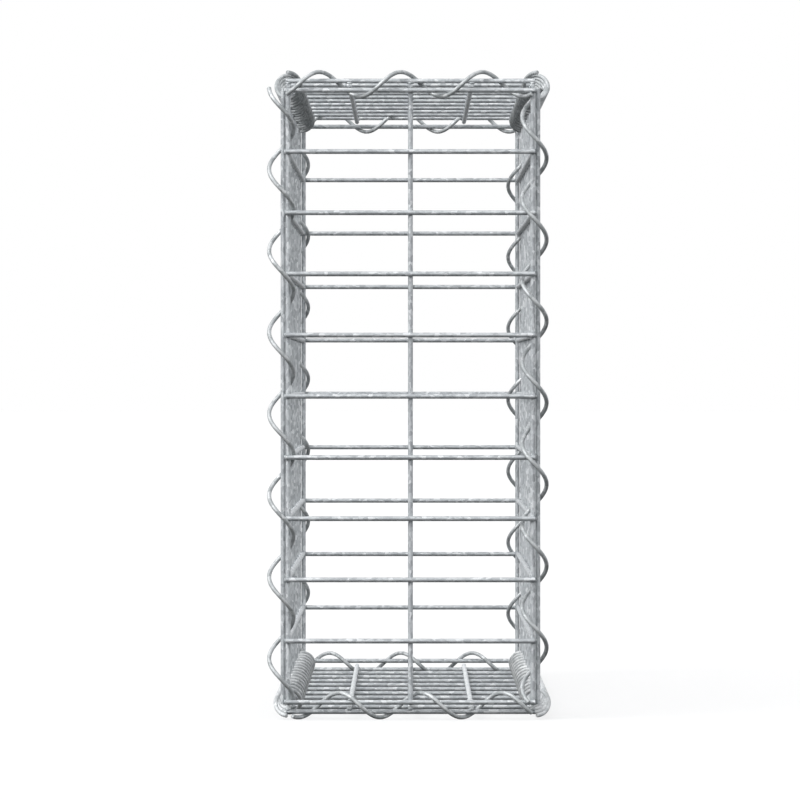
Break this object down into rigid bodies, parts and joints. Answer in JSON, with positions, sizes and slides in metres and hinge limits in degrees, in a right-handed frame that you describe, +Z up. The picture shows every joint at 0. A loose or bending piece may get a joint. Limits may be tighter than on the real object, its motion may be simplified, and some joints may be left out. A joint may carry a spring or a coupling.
{
  "type": "empty welded mesh gabion basket",
  "caption": "Long empty gabion basket of galvanised welded wire mesh, its six flat panels laced along every edge with spiral binders.",
  "frame": {"origin": "middle of the underside of the whole basket, at the level of the lowest spiral binders", "axes": "+X across the width to the right seen from the front end, +Y along the length away from the front end, +Z up"},
  "size_m": [0.2326, 1.0336, 0.5312],
  "materials": {
    "mesh_zinc": "hot-dip galvanised, satin with a faint mottle",
    "coil_zinc": "galvanised drawn wire, satin"
  },
  "bodies": {
    "root": {"front_end_panel": "mesh_zinc", "back_end_panel": "mesh_zinc", "left_side_panel": "mesh_zinc", "right_side_panel": "mesh_zinc", "lid_panel": "mesh_zinc", "base_panel": "mesh_zinc", "corner_coil_front_left": "coil_zinc", "corner_coil_front_right": "coil_zinc", "corner_coil_back_left": "coil_zinc", "corner_coil_back_right": "coil_zinc", "end_coil_front_top": "coil_zinc", "end_coil_front_bottom": "coil_zinc", "end_coil_back_top": "coil_zinc", "end_coil_back_bottom": "coil_zinc", "long_coil_top_left": "coil_zinc", "long_coil_top_right": "coil_zinc", "long_coil_bottom_left": "coil_zinc", "long_coil_bottom_right": "coil_zinc"}
  },
  "joints": []
}
